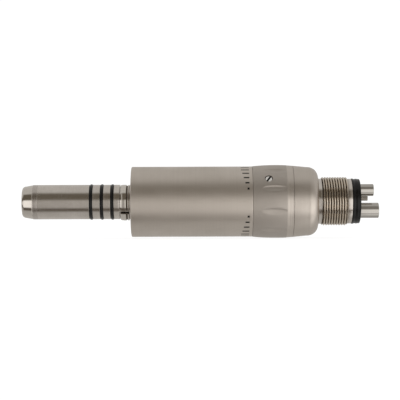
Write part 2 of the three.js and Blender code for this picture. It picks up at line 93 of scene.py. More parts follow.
TIP, FLANGE_REAR, FLANGE_RADIUS = span("spigot")
SLEEVE_FRONT, SLEEVE_REAR, SLEEVE_RADIUS = span("outer_sleeve")
RETAINER_FROM, RETAINER_TO, _ = span("retaining_spring_ring")
RING_FRONT, RING_REAR, RING_RADIUS = span("control_ring")
CAP_FRONT, CAP_REAR, CAP_RADIUS = span("rear_cap")
CONNECTOR_FRONT, CONNECTOR_REAR, _ = span("hose_connector")
GASKET_FRONT, GASKET_REAR, GASKET_RADIUS = span("connector_gasket")
DOG_FRONT, DOG_REAR, DOG_RADIUS = span("drive_dog")
SEALS = ["spigot_seal_1", "spigot_seal_2", "spigot_seal_3"]
TUBES = ["exhaust_tube", "drive_air_tube", "water_tube", "chip_air_tube"]

SPIGOT_RADIUS = 4.99
SPIGOT_BORE = 3.2
BODY_RADIUS = SLEEVE_RADIUS - 0.03

# ---- Meshes ----


def around(angle, radius, x):
    """The point at an angle and a radius about the motor axis."""
    turn = math.radians(angle)
    return (x, -math.cos(turn) * radius, math.sin(turn) * radius)


def new_object(name, points, faces):
    """A mesh object from points in mm."""
    mesh = bpy.data.meshes.new(name)
    mesh.from_pydata([Vector(p) * MM for p in points], [], faces)
    mesh.update()
    piece = bpy.data.objects.new(name, mesh)
    bpy.context.scene.collection.objects.link(piece)
    return piece


def rounded(corners, step=15):
    """An outline whose corners are (x, radius) or (x, radius, fillet): each fillet becomes a round arc."""
    outline = []
    for i, corner in enumerate(corners):
        here = Vector(corner[:2])
        if len(corner) < 3:
            outline.append(tuple(here))
            continue
        arriving = (here - Vector(corners[i - 1][:2])).normalized()
        leaving = (Vector(corners[(i + 1) % len(corners)][:2]) - here).normalized()
        turn = arriving.angle_signed(leaving)
        reach = corner[2] * math.tan(abs(turn) / 2)
        start = here - arriving * reach
        side = math.copysign(1, turn)
        middle = start + Vector((arriving.y, -arriving.x)) * side * corner[2]
        count = max(2, round(abs(math.degrees(turn)) / step))
        for k in range(count + 1):
            spin = Matrix.Rotation(-turn * k / count, 2)
            outline.append(tuple(middle + spin @ (start - middle)))
    return outline


def revolve(name, outline, sides=FINE):
    """A closed body of revolution about X. The outline runs to +X outside and back inside, or axis to axis."""
    ring_starts = []
    points = []
    for x, radius in outline:
        ring_starts.append(len(points))
        if radius < 1e-6:
            points.append((x, 0, 0))
        else:
            points += [around(360 * k / sides, radius, x) for k in range(sides)]
    on_axis = [radius < 1e-6 for _, radius in outline]
    count = len(outline)
    faces = []
    for i in range(count):
        j = (i + 1) % count
        if on_axis[i] and on_axis[j]:
            continue
        a, b = ring_starts[i], ring_starts[j]
        for k in range(sides):
            n = (k + 1) % sides
            if on_axis[i]:
                faces.append((a, b + k, b + n))
            elif on_axis[j]:
                faces.append((a + k, b, a + n))
            else:
                faces.append((a + k, b + k, b + n, a + n))
    return new_object(name, points, faces)


def drill(name, start, end, radius, sides=SMALL):
    """A round cutter between two points."""
    run = Vector(end) - Vector(start)
    cutter = revolve(name, [(0, 0), (0, radius), (run.length, radius), (run.length, 0)], sides)
    turn = Vector((1, 0, 0)).rotation_difference(run).to_matrix().to_4x4()
    cutter.data.transform(Matrix.Translation(Vector(start) * MM) @ turn)
    return cutter


BRICK_FACES = [(0, 1, 3, 2), (4, 6, 7, 5), (0, 4, 5, 1), (2, 3, 7, 6), (0, 2, 6, 4), (1, 5, 7, 3)]


def brick(name, low, high):
    """A box between two corners."""
    points = [(x, y, z) for x in (low[0], high[0]) for y in (low[1], high[1]) for z in (low[2], high[2])]
    return new_object(name, points, BRICK_FACES)


def block(name, size, place, angle=90):
    """A box of (x, across, out) made at the top of the motor and swung to an angle about the axis."""
    piece = brick(name, [-s / 2 for s in size], [s / 2 for s in size])
    piece.data.transform(Matrix.Translation(Vector(place) * MM))
    piece.data.transform(Matrix.Rotation(math.radians(90 - angle), 4, "X"))
    return piece


def carve(piece, cutters):
    """Cuts the cutters out of the piece and removes them."""
    for cutter in cutters:
        modifier = piece.modifiers.new("cut", "BOOLEAN")
        modifier.operation = "DIFFERENCE"
        modifier.solver = "EXACT"
        modifier.object = cutter
    settled = piece.evaluated_get(bpy.context.evaluated_depsgraph_get())
    mesh = bpy.data.meshes.new_from_object(settled)
    piece.modifiers.clear()
    old = piece.data
    piece.data = mesh
    bpy.data.meshes.remove(old)
    mesh.name = piece.name
    for cutter in cutters:
        bpy.data.meshes.remove(cutter.data)
    return piece


def join(name, pieces):
    """One object that holds the bodies of several."""
    points = []
    faces = []
    for piece in pieces:
        first = len(points)
        points += [v.co / MM for v in piece.data.vertices]
        faces += [tuple(first + v for v in face.vertices) for face in piece.data.polygons]
        bpy.data.meshes.remove(piece.data)
    return new_object(name, points, faces)


def finish_piece(piece, material, body, replaces=(), sharp=28):
    """Smooth shading with crisp edges, a material, and a place in the frame."""
    piece.data.shade_smooth()
    piece.data.set_sharp_from_angle(angle=math.radians(sharp))
    piece.data.materials.clear()
    piece.data.materials.append(material)
    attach(piece, body)
    if replaces:
        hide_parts(*replaces)
    return piece


def paint(piece, material, chosen):
    """Gives another material to the faces whose centre, in mm, passes the test."""
    piece.data.materials.append(material)
    index = len(piece.data.materials) - 1
    for face in piece.data.polygons:
        if chosen(face.center / MM):
            face.material_index = index


# ---- Materials ----


class Shader:
    """A small helper that adds nodes to one material and links them."""

    def __init__(self, name):
        self.material = bpy.data.materials.new(name)
        self.material.use_nodes = True
        self.nodes = self.material.node_tree.nodes
        self.links = self.material.node_tree.links
        self.surface = self.nodes["Principled BSDF"]
        self.place = self.nodes.new("ShaderNodeTexCoord").outputs["Object"]

    def link(self, source, target):
        if isinstance(source, (int, float, tuple)):
            target.default_value = source
        else:
            self.links.new(source, target)

    def stretched(self, scale):
        """Object coordinates in mm, scaled along each axis."""
        mapping = self.nodes.new("ShaderNodeMapping")
        mapping.inputs["Scale"].default_value = [s / MM for s in scale]
        self.link(self.place, mapping.inputs["Vector"])
        return mapping.outputs["Vector"]

    def noise(self, scale, detail=2.0, roughness=0.5):
        """Noise between 0 and 1, with about so many lumps in each mm along X, Y and Z."""
        texture = self.nodes.new("ShaderNodeTexNoise")
        texture.inputs["Scale"].default_value = 1.0
        texture.inputs["Detail"].default_value = detail
        texture.inputs["Roughness"].default_value = roughness
        self.link(self.stretched(scale), texture.inputs["Vector"])
        return texture.outputs["Fac"]

    def spread(self, value, low, high, source_low=0.3, source_high=0.7):
        """Maps a value onto a range."""
        node = self.nodes.new("ShaderNodeMapRange")
        for socket, number in zip(node.inputs[1:5], (source_low, source_high, low, high)):
            socket.default_value = number
        self.link(value, node.inputs[0])
        return node.outputs[0]

    def math(self, operation, a, b=0.0):
        node = self.nodes.new("ShaderNodeMath")
        node.operation = operation
        self.link(a, node.inputs[0])
        self.link(b, node.inputs[1])
        return node.outputs[0]

    def tint(self, factor, first, second):
        """A colour between two, by a factor."""
        node = self.nodes.new("ShaderNodeMix")
        node.data_type = "RGBA"
        self.link(factor, node.inputs["Factor"])
        node.inputs[6].default_value = (*first, 1)
        node.inputs[7].default_value = (*second, 1)
        return node.outputs[2]

    def bump(self, height, distance_mm, below=None):
        node = self.nodes.new("ShaderNodeBump")
        node.inputs["Distance"].default_value = distance_mm * MM
        self.link(height, node.inputs["Height"])
        if below is not None:
            self.link(below, node.inputs["Normal"])
        return node.outputs["Normal"]

    def edge_wear(self, width_mm):
        """1 on the convex edges, 0 elsewhere."""
        bevel = self.nodes.new("ShaderNodeBevel")
        bevel.samples = 4
        bevel.inputs["Radius"].default_value = width_mm * MM
        geometry = self.nodes.new("ShaderNodeNewGeometry")
        dot = self.nodes.new("ShaderNodeVectorMath")
        dot.operation = "DOT_PRODUCT"
        self.link(bevel.outputs["Normal"], dot.inputs[0])
        self.link(geometry.outputs["Normal"], dot.inputs[1])
        return self.spread(dot.outputs["Value"], 1.0, 0.0, 0.85, 0.99)

    def set(self, **inputs):
        names = {
            "color": "Base Color",
            "metallic": "Metallic",
            "roughness": "Roughness",
            "normal": "Normal",
            "specular": "Specular IOR Level",
            "anisotropic": "Anisotropic",
            "tangent": "Tangent",
        }
        for key, value in inputs.items():
            self.link(value, self.surface.inputs[names[key]])
        return self.material


def metal(name, light, dark, roughness, grain=0.0, rings=0.0, smudge=0.05, anisotropic=0.0, wear=0.0):
    """A metal. grain and rings are the depths in microns of the blasted grain and of the turning marks."""
    shader = Shader(name)
    cloud = shader.noise((0.12, 0.12, 0.12), detail=4, roughness=0.6)
    fine = shader.noise((9, 9, 9), detail=2)
    turned = shader.noise((7, 0.02, 0.02), detail=5, roughness=0.75)
    blend = shader.spread(cloud, 0.0, 0.7)
    if rings:
        blend = shader.math("ADD", blend, shader.spread(turned, -0.35, 0.35))
    color = shader.tint(shader.spread(blend, 0, 1, 0, 1), light, dark)
    level = shader.spread(cloud, roughness - smudge, roughness + smudge)
    if rings:
        level = shader.math("ADD", level, shader.spread(turned, -0.06, 0.06))
    if grain:
        level = shader.math("ADD", level, shader.spread(fine, -0.04, 0.04))
    if wear:
        level = shader.math("SUBTRACT", level, shader.math("MULTIPLY", shader.edge_wear(0.12), wear))
    normal = None
    if grain:
        normal = shader.bump(fine, grain * MM)
    if rings:
        normal = shader.bump(turned, rings * MM, normal)
    shader.set(color=color, metallic=1.0, roughness=level)
    if normal is not None:
        shader.set(normal=normal)
    if anisotropic:
        tangent = shader.nodes.new("ShaderNodeTangent")
        tangent.direction_type = "RADIAL"
        tangent.axis = "X"
        shader.set(anisotropic=anisotropic, tangent=tangent.outputs["Tangent"])
    return shader.material


def soft_black_rubber():
    shader = Shader("black_rubber")
    dust = shader.noise((0.5, 0.5, 0.5), detail=6, roughness=0.65)
    skin = shader.noise((6, 6, 6), detail=3)
    color = shader.tint(shader.spread(dust, 0, 1, 0.4, 0.8), (0.002, 0.002, 0.002), (0.007, 0.0065, 0.006))
    level = shader.spread(dust, 0.22, 0.36)
    return shader.set(color=color, roughness=level, specular=0.26, normal=shader.bump(skin, 0.004))


def plastic(name, light, dark, roughness, fibre=(2, 2, 2)):
    shader = Shader(name)
    grain = shader.noise(fibre, detail=4, roughness=0.6)
    color = shader.tint(shader.spread(grain, 0, 1), light, dark)
    level = shader.spread(grain, roughness - 0.06, roughness + 0.08)
    return shader.set(color=color, roughness=level, normal=shader.bump(grain, 0.01))


def recess_shade():
    """Painted shade: a dark brown metal colour that darkens slots, grooves and thread roots."""
    shader = Shader("recess_shade")
    shade_mottle = shader.noise((3, 3, 3), detail=5, roughness=0.6)
    color = shader.tint(shader.spread(shade_mottle, 0, 1), (0.07, 0.057, 0.044), (0.2, 0.165, 0.13))
    shader.set(color=color, metallic=0.75, roughness=shader.spread(shade_mottle, 0.4, 0.6), specular=0.2)
    return shader.set(normal=shader.bump(shade_mottle, 0.01))


# Near-black ink for the sleeve's tick marks. The same colour is painted in the screw's slot as painted shade.
def mark_ink_and_slot_shade():
    shader = Shader("mark_ink_and_slot_shade")
    fade = shader.noise((5, 5, 5), detail=4)
    color = shader.tint(shader.spread(fade, 0, 1), (0.003, 0.003, 0.003), (0.012, 0.011, 0.010))
    return shader.set(color=color, roughness=shader.spread(fade, 0.55, 0.8), specular=0.12)


SATIN = metal("satin_nickel", (0.60, 0.545, 0.49), (0.55, 0.498, 0.445), 0.42, grain=1.2, rings=0.25, wear=0.12)
FINE_SATIN = metal("fine_satin", (0.58, 0.527, 0.474), (0.535, 0.485, 0.435), 0.42, grain=1.0, rings=0.25, wear=0.12)
BLASTED = metal("blasted_nickel", (0.512, 0.468, 0.425), (0.467, 0.426, 0.386), 0.52, grain=2.0, wear=0.1)
TURNED = metal(
    "turned_steel", (0.64, 0.595, 0.55), (0.50, 0.46, 0.42), 0.2, rings=1.6, grain=0.3, anisotropic=0.3, wear=0.08
)
POLISHED = metal("polished_steel", (0.74, 0.72, 0.69), (0.68, 0.66, 0.63), 0.11, rings=0.3, smudge=0.03)
WORN = metal("worn_steel", (0.66, 0.62, 0.57), (0.36, 0.33, 0.29), 0.12, grain=0.3, rings=0.4, smudge=0.05)
CONE = metal("cone_steel", (0.63, 0.59, 0.545), (0.56, 0.52, 0.475), 0.11, rings=0.5, smudge=0.03)
COARSE = metal("coarse_steel", (0.53, 0.49, 0.45), (0.44, 0.4, 0.37), 0.25, rings=2.0)
TUBE = metal("tube_steel", (0.46, 0.438, 0.405), (0.39, 0.368, 0.34), 0.12, rings=0.3, smudge=0.03)
OILED = metal("oiled_steel", (0.64, 0.57, 0.485), (0.5, 0.435, 0.36), 0.2, rings=1.0, smudge=0.06)
# A darker copy of the tube steel for the two small tubes tucked among the larger ones: painted shade.
SHADED_TUBE = metal("shaded_tube", (0.36, 0.33, 0.29), (0.26, 0.23, 0.2), 0.2, rings=0.3, smudge=0.06)
BEARING = metal("bearing_steel", (0.66, 0.67, 0.68), (0.60, 0.61, 0.62), 0.14, rings=0.4, smudge=0.03)
GROUND = metal("motor_steel", (0.50, 0.51, 0.52), (0.40, 0.41, 0.42), 0.33, rings=1.0)
SPRING = metal("spring_steel", (0.42, 0.43, 0.45), (0.33, 0.34, 0.35), 0.30, grain=0.8)
BRASS = metal("valve_brass", (0.72, 0.56, 0.28), (0.60, 0.44, 0.20), 0.27, rings=1.0)
RUBBER = soft_black_rubber()
RESIN = plastic("vane_resin", (0.19, 0.115, 0.065), (0.10, 0.06, 0.035), 0.55, fibre=(0.6, 6, 6))
NYLON = plastic("cage_nylon", (0.76, 0.70, 0.56), (0.66, 0.60, 0.46), 0.42)
INK_AND_SLOT_SHADE = mark_ink_and_slot_shade()
RECESS_SHADE = recess_shade()

MATERIAL_OF_SLOT = {
    "satin_nickel": SATIN,
    "turned_steel": TURNED,
    "polished_steel": POLISHED,
    "bearing_steel": BEARING,
    "motor_steel": GROUND,
    "spring_steel": SPRING,
    "valve_brass": BRASS,
    "black_rubber": RUBBER,
    "vane_resin": RESIN,
    "cage_nylon": NYLON,
}


def dress_cad_nodes():
    """Every CAD node gets the procedural material of its slot in the record."""
    for part in frame["record"]["subparts"]:
        node = frame["nodes"][part["node"]]
        node.data.materials.clear()
        node.data.materials.append(MATERIAL_OF_SLOT[part["material_slot"]])


# ---- Nose ----

NOSE_FACE = TIP + 0.2
BAND_FROM, BAND_TO = TIP + 3.35, TIP + 4.7
CONE_INSIDE = 4.0
SEAL_GROOVE_FLOOR, SEAL_GROOVE_HALF = 4.15, 0.5
RETAINER_SEAT = 4.35
BOSS_RADIUS = 5.4
FLANGE_BORE, FLANGE_BORE_DEPTH = 5.6, 4.0
OUTLETS = [(195, 0, 1), (239, 1, 2)]  # an angle, and the two seals that the outlet lies between
OUTLET_RADIUS = 0.3


def spigot():
    """The nose tube: a cone and a scribed band at the tip, grooves for the seals and the ring, and a flange."""
    nose = [
        (NOSE_FACE + 0.9, SPIGOT_BORE),
        (NOSE_FACE, SPIGOT_BORE + 0.25, 0.15),
        (NOSE_FACE, 4.15, 0.55),
        (NOSE_FACE + 0.6, 4.5, 0.25),
        (NOSE_FACE + 3.0, 4.93, 0.1),
    ]
    scribe = []
    for line, depth in [(BAND_FROM, 0.03), (BAND_TO, 0.015)]:
        for x, drop in [(-0.11, 0), (-0.07, 0.4), (0, 1), (0.07, 0.4), (0.11, 0)]:
            scribe.append((line + x, SPIGOT_RADIUS - depth * drop))
        scribe.append((line + 0.16, SPIGOT_RADIUS))
    grooves = []
    for seal in SEALS:
        station = centre(seal).x
        grooves.append((station - 0.65, SPIGOT_RADIUS))
        for x, radius in [
            (-SEAL_GROOVE_HALF, SPIGOT_RADIUS),
            (-SEAL_GROOVE_HALF, SEAL_GROOVE_FLOOR),
            (SEAL_GROOVE_HALF, SEAL_GROOVE_FLOOR),
            (SEAL_GROOVE_HALF, SPIGOT_RADIUS),
        ]:
            grooves.append((station + x, radius, 0.04))
    retainer = [
        (RETAINER_FROM - 0.2, SPIGOT_RADIUS, 0.05),
        (RETAINER_FROM - 0.2, RETAINER_SEAT, 0.08),
        (RETAINER_TO + 0.12, RETAINER_SEAT, 0.08),
        (RETAINER_TO + 0.12, SPIGOT_RADIUS, 0.06),
    ]
    boss_front = SLEEVE_FRONT - 0.03
    flange_front = SLEEVE_FRONT + 1.4
    base = [
        (boss_front, SPIGOT_RADIUS, 0.1),
        (boss_front, BOSS_RADIUS, 0.15),
        (flange_front, BOSS_RADIUS),
        (flange_front, FLANGE_RADIUS, 0.1),
        (FLANGE_REAR, FLANGE_RADIUS, 0.1),
        (FLANGE_REAR, FLANGE_BORE, 0.1),
        (FLANGE_REAR - FLANGE_BORE_DEPTH, FLANGE_BORE),
        (FLANGE_REAR - FLANGE_BORE_DEPTH, SPIGOT_BORE),
    ]
    piece = revolve("spigot_body", rounded(nose + scribe + grooves + retainer + base))
    seal_x = [centre(seal).x for seal in SEALS]
    outlets = []
    for angle, before, after in OUTLETS:
        x = (seal_x[before] + seal_x[after]) / 2
        outlets.append(drill("outlet", around(angle, 3.9, x), around(angle, 6, x), OUTLET_RADIUS, 24))
    carve(piece, outlets)
    finish_piece(piece, TURNED, "motor_body", ["spigot"])
    paint(piece, CONE, lambda middle: middle.x < BAND_FROM - 0.05 and middle.yz.length > CONE_INSIDE)
    paint(piece, COARSE, lambda middle: BAND_FROM - 0.05 < middle.x < BAND_TO + 0.05 and middle.yz.length > CONE_INSIDE)


SEAL_SECTION_SIDES = 20


def seal_ring(name):
    """A round-section rubber ring. The CAD's section is a hexagon, which is narrower than the round one."""
    front, rear, outer = span(name)
    section = (rear - front) / 2 / math.cos(math.radians(30))
    station = (front + rear) / 2
    outline = []
    for k in range(SEAL_SECTION_SIDES):
        turn = 2 * math.pi * (k + 0.5) / SEAL_SECTION_SIDES
        outline.append((station - section * math.cos(turn), outer - section + section * math.sin(turn)))
    piece = revolve(name + "_ring", outline, MEDIUM)
    finish_piece(piece, RUBBER, "motor_body", [name])


RETAINER_GAP = 0.94
RETAINER_GAP_ANGLE = -38.2
RETAINER_THICKNESS = 0.4
RETAINER_GROOVE = RETAINER_FROM + 1.9
RETAINER_LIFT, RETAINER_LIFT_RISE = 0.75, 0.1  # the share of the stand-out at the front edge, and its rise per mm


def retaining_ring():
    """A split spring ring with a groove near its rear edge. It stands out of its seat below the gap."""
    low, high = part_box("retaining_spring_ring")
    radius, lowest = high.z / MM, -low.z / MM
    bore = radius - RETAINER_THICKNESS
    outline = rounded(
        [
            (RETAINER_FROM, bore, 0.06),
            (RETAINER_FROM, radius - 0.12, 0.06),
            (RETAINER_FROM + 0.7, radius, 2.5),
            (RETAINER_GROOVE - 0.28, radius - 0.02, 0.06),
            (RETAINER_GROOVE - 0.2, radius - 0.3, 0.05),
            (RETAINER_GROOVE + 0.16, radius - 0.3, 0.05),
            (RETAINER_GROOVE + 0.22, radius - 0.04, 0.06),
            (RETAINER_TO, radius - 0.1, 0.1),
            (RETAINER_TO, bore, 0.06),
        ]
    )
    half_gap = math.degrees(math.asin(RETAINER_GAP / 2 / radius))
    first, last = RETAINER_GAP_ANGLE + half_gap, RETAINER_GAP_ANGLE + 360 - half_gap
    points = []
    for k in range(FINE + 1):
        angle = first + (last - first) * k / FINE
        near_bottom = max(0.0, math.cos(math.radians((angle - 270) * 1.5))) if angle > 180 else 0
        stand_out = (lowest - radius) * near_bottom
        for x, r in outline:
            lift = RETAINER_LIFT + RETAINER_LIFT_RISE * (x - RETAINER_FROM)
            points.append(around(angle, r + stand_out * lift, x))
    size = len(outline)
    faces = []
    for k in range(FINE):
        for i in range(size):
            j = (i + 1) % size
            a, b = k * size, (k + 1) * size
            faces.append((a + i, a + j, b + j, b + i))
    faces.append(tuple(range(size))[::-1])
    faces.append(tuple(FINE * size + i for i in range(size)))
    piece = new_object("retaining_ring", points, faces)
    finish_piece(piece, WORN, "motor_body", ["retaining_spring_ring"])
    # The groove gets the dark recess colour: painted shade.
    paint(piece, RECESS_SHADE, lambda middle: abs(middle.x - RETAINER_GROOVE) < 0.21)


# ---- Sleeve ----

MARK_CENTRE_ANGLE = -1.9
FIRST_MARK_ANGLE = 23.1
MARK_STEP_ANGLE = 10.5
MARK_LENGTHS = [0.6, 1.15, 1.6, 1.95, 2.3, 2.3]
MARK_WIDTHS = [0.62, 0.5, 0.48, 0.48, 0.48, 0.48]
MARK_INSET = 0.95
SLEEVE_BORE, SLEEVE_MOUTH = 9.25, 5.5


def mark_blocks(name, margin, top, depth):
    """One block for each tick mark at the sleeve's rear edge, as a cutter or as the ink in it."""
    blocks = []
    for side in (-1, 1):
        for k, length in enumerate(MARK_LENGTHS):
            angle = MARK_CENTRE_ANGLE + side * (FIRST_MARK_ANGLE + MARK_STEP_ANGLE * k)
            x = SLEEVE_REAR - MARK_INSET - length / 2
            place = (x, 0, BODY_RADIUS + top - depth / 2)
            size = (length - margin, MARK_WIDTHS[k] - margin, depth)
            blocks.append(block(name, size, place, angle))
    return blocks


def outer_sleeve():
    """The barrel, a hair wider at its rear edge, with inked tick marks cut in it."""
    piece = revolve(
        "sleeve",
        rounded(
            [
                (SLEEVE_FRONT, SLEEVE_MOUTH, 0.15),
                (SLEEVE_FRONT, BODY_RADIUS, 0.28),
                (SLEEVE_REAR - 1.1, BODY_RADIUS, 4),
                (SLEEVE_REAR + 0.02, SLEEVE_RADIUS, 0.03),
                (SLEEVE_REAR + 0.02, SLEEVE_BORE),
                (SLEEVE_FRONT + 1.3, SLEEVE_BORE),
                (SLEEVE_FRONT + 1.3, SLEEVE_MOUTH),
            ]
        ),
    )
    carve(piece, mark_blocks("mark", 0, 0.3, 0.36))
    finish_piece(piece, SATIN, "motor_body", ["outer_sleeve"])
    ink = join("sleeve_marks", mark_blocks("ink", 0.01, -0.012, 0.05))
    finish_piece(ink, INK_AND_SLOT_SHADE, "motor_body")


# ---- Control ring ----

RING_BORE = 9.04
RING_STEP = RING_REAR - 1.88
CROWN_X = -24.4
CROWN_FALL_FRONT, CROWN_FALL_REAR = 0.34, 0.105
CROWN_RUN_FRONT, CROWN_RUN_REAR = 6.45, 3.9
GRID_ROWS = 72
COLUMNS_IN_SCALLOP, COLUMNS_BETWEEN = 20, 10
SCREW_ANGLE = 38.5
SCREW_HOLE_RADIUS = 1.15
SCALLOP_COUNT = 10
FIRST_SCALLOP_ANGLE = 20.7
SCALLOP_X = -24.9
SCALLOP_HALF_LENGTH = 3.65
SCALLOP_HALF_WIDTH = 1.0
SCALLOP_DEPTH = 0.23
SCALLOP_LEAN = 0.3
SCALLOP_CURVE = 1.4
LEAST_HALF_ANGLE = 0.02


def ring_radius(x):
    """The ring's crowned outside, without its scallops and rear band."""
    if x < CROWN_X:
        return RING_RADIUS - CROWN_FALL_FRONT * ((x - CROWN_X) / CROWN_RUN_FRONT) ** 2
    return RING_RADIUS - CROWN_FALL_REAR * ((x - CROWN_X) / CROWN_RUN_REAR) ** 2


def scallop_size(x):
    """How much of a scallop's full width and depth there is at a station, from 0 at its ends to 1."""
    along = (x - SCALLOP_X) / SCALLOP_HALF_LENGTH
    return math.sqrt(max(0.0, 1 - along * along))


def scallop_half_angle(x):
    """Half the angle that a scallop's rim spans at a station."""
    return max(LEAST_HALF_ANGLE, math.degrees(SCALLOP_HALF_WIDTH * scallop_size(x) / RING_RADIUS))


def scallop_drop(x, offset):
    """How far the surface lies below the crown. The deepest line is nearer the rim with the larger angle."""
    across = offset / scallop_half_angle(x) - SCALLOP_LEAN
    across /= 1 - SCALLOP_LEAN if across > 0 else 1 + SCALLOP_LEAN
    return SCALLOP_DEPTH * scallop_size(x) ** 2 * max(0.0, 1 - across * across) ** SCALLOP_CURVE


def control_ring():
    """The grid's columns follow the scallops' rims, so each rim is one clean edge."""
    crowned = [RING_FRONT + 0.04 + (RING_STEP - RING_FRONT - 0.06) * k / GRID_ROWS for k in range(GRID_ROWS + 1)]
    slope = (ring_radius(RING_STEP) - 0.03 - CAP_RADIUS) / (RING_REAR - RING_STEP)
    rear = [(RING_STEP, ring_radius(RING_STEP) - 0.005), (RING_STEP + 0.03, ring_radius(RING_STEP) - 0.03)]
    for line in (RING_STEP + 0.65, RING_STEP + 1.3):
        for x, drop in [(-0.05, 0), (0, 0.006), (0.05, 0)]:
            rear.append((line + x, CAP_RADIUS + slope * (RING_REAR - line - x) - drop))
    rear += [
        (RING_REAR - 0.04, CAP_RADIUS),
        (RING_REAR, CAP_RADIUS - 0.04),
        (RING_REAR, RING_BORE),
        (RING_FRONT, RING_BORE),
        (RING_FRONT, ring_radius(RING_FRONT) - 0.06),
    ]
    outline = [(x, ring_radius(x)) for x in crowned] + rear
    sector = 360 / SCALLOP_COUNT
    points = []
    for i, (x, radius) in enumerate(outline):
        half = scallop_half_angle(x) if i < len(crowned) else LEAST_HALF_ANGLE
        for s in range(SCALLOP_COUNT):
            middle = FIRST_SCALLOP_ANGLE + s * sector
            for k in range(COLUMNS_IN_SCALLOP):
                offset = half * (2 * k / COLUMNS_IN_SCALLOP - 1)
                drop = scallop_drop(x, offset) if i < len(crowned) else 0
                points.append(around(middle + offset, radius - drop, x))
            for k in range(COLUMNS_BETWEEN):
                offset = half + (sector - 2 * half) * k / COLUMNS_BETWEEN
                points.append(around(middle + offset, radius, x))
    columns = SCALLOP_COUNT * (COLUMNS_IN_SCALLOP + COLUMNS_BETWEEN)
    faces = []
    for i in range(len(outline)):
        a, b = i * columns, (i + 1) % len(outline) * columns
        for k in range(columns):
            n = (k + 1) % columns
            faces.append((a + k, b + k, b + n, a + n))
    piece = new_object("control_ring_shell", points, faces)
    screw_x = centre("control_ring_screw").x
    hole = drill("hole", around(SCREW_ANGLE, 8, screw_x), around(SCREW_ANGLE, 12, screw_x), SCREW_HOLE_RADIUS)
    carve(piece, [hole])
    finish_piece(piece, BLASTED, "control_ring", ["control_ring"], sharp=24)
    paint(piece, FINE_SATIN, lambda middle: middle.x > RING_STEP)


SCREW_TIP, SHANK_RADIUS = 3.5, 0.9
HEAD_BASE, HEAD_TOP, HEAD_RADIUS = 8.9, 10.3, 1.02
SLOT_FLOOR, SLOT_WIDTH, SLOT_ANGLE = 9.7, 0.54, -32


def ring_screw():
    """A small slotted screw, sunk a little in the ring. It is built along X and then stood up."""
    head = revolve(
        "ring_screw",
        rounded(
            [
                (SCREW_TIP, 0),
                (SCREW_TIP, SHANK_RADIUS),
                (HEAD_BASE, SHANK_RADIUS),
                (HEAD_BASE, HEAD_RADIUS, 0.1),
                (HEAD_TOP, HEAD_RADIUS, 0.15),
                (HEAD_TOP, 0),
            ]
        ),
        SMALL,
    )
    cutter = brick("slot", (SLOT_FLOOR, -2, -SLOT_WIDTH / 2), (11, 2, SLOT_WIDTH / 2))
    cutter.data.transform(Matrix.Rotation(math.radians(SLOT_ANGLE), 4, "X"))
    carve(head, [cutter])
    head.data.transform(Matrix.Rotation(math.radians(-90), 4, "Y"))
    head.data.transform(Matrix.Rotation(math.radians(90 - SCREW_ANGLE), 4, "X"))
    head.data.transform(Matrix.Translation((centre("control_ring_screw").x * MM, 0, 0)))
    finish_piece(head, POLISHED, "control_ring", ["control_ring_screw"])
    # Every face below the head's top, the slot's floor and walls among them, is painted near black: painted shade.
    paint(head, INK_AND_SLOT_SHADE, lambda middle: middle.yz.length < HEAD_TOP - 0.1)


# ---- Rear cap and hose connector ----

CAP_CORNER_LENGTH = 3.0
CAP_CORNER_STEPS = 25
CAP_SHOULDER, CAP_MOUTH, CAP_BORE = 9.93, 7.2, 9.1
CAP_END_THICKNESS = 2.5


def rear_cap():
    """A slightly tapered shell whose rear corner is a quarter of an ellipse."""
    corner_x = CAP_REAR - CAP_CORNER_LENGTH
    front = CAP_FRONT - 0.02
    outline = rounded([(front, CAP_BORE), (front, CAP_RADIUS, 0.03), (corner_x - 0.5, CAP_SHOULDER + 0.03)])
    for k in range(CAP_CORNER_STEPS):
        turn = math.radians(90 * k / CAP_CORNER_STEPS)
        radius = CAP_MOUTH + (CAP_SHOULDER - CAP_MOUTH) * math.cos(turn)
        outline.append((corner_x + CAP_CORNER_LENGTH * math.sin(turn), radius))
    inside = CAP_REAR - CAP_END_THICKNESS
    outline += [(CAP_REAR, CAP_MOUTH + 0.05), (CAP_REAR, CAP_MOUTH - 0.1)]
    outline += [(inside, CAP_MOUTH - 0.1), (inside, CAP_BORE)]
    piece = revolve("rear_cap_shell", outline)
    finish_piece(piece, FINE_SATIN, "motor_body", ["rear_cap"])


THREAD_FROM = -11.1
THREAD_TO = -3.55
THREAD_PITCH = 0.75
THREAD_ROOT = 6.58
THREAD_CREST = 7.0
THREAD_ROOT_FLAT, THREAD_FLANK = 0.03, 3.4  # half the flat at the root in turns, and the flank's rise per turn
THREAD_RUN_IN, THREAD_RUN_OUT = 0.3, 0.4
THREAD_ROWS_PER_TURN = 16
CONNECTOR_SIDES = 120
CONNECTOR_FLANGE_RADIUS, CONNECTOR_FLANGE_LENGTH = 8.9, 2.75
NECK_RADIUS, COLLAR_RADIUS = 6.55, 6.48
RELIEF_RADIUS = THREAD_ROOT - 0.25
DIMPLE_ANGLE, DIMPLE_RADIUS = -24, 0.16


def thread_radius(x, turns):
    """The radius of a right-hand thread at a station and a number of turns about the axis."""
    phase = (x / THREAD_PITCH - turns) % 1.0
    flank = min(1.0, max(0.0, (abs(phase - 0.5) - THREAD_ROOT_FLAT) * THREAD_FLANK))
    rise = min(1.0, (x - THREAD_FROM) / THREAD_RUN_IN, (THREAD_TO - x) / THREAD_RUN_OUT)
    return THREAD_ROOT + (THREAD_CREST - THREAD_ROOT) * max(0.0, min(flank, rise))


def tube_radius(tube):
    """The outer radius of a CAD tube, in mm."""
    low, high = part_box(tube)
    return (high.z - low.z) / MM / 2


def tube_holes(start, end, clearance):
    """A cutter round each tube, from one station to another."""
    cutters = []
    for tube in TUBES:
        middle = centre(tube)
        ends = (start, middle.y, middle.z), (end, middle.y, middle.z)
        cutters.append(drill("hole", *ends, tube_radius(tube) + clearance))
    return cutters


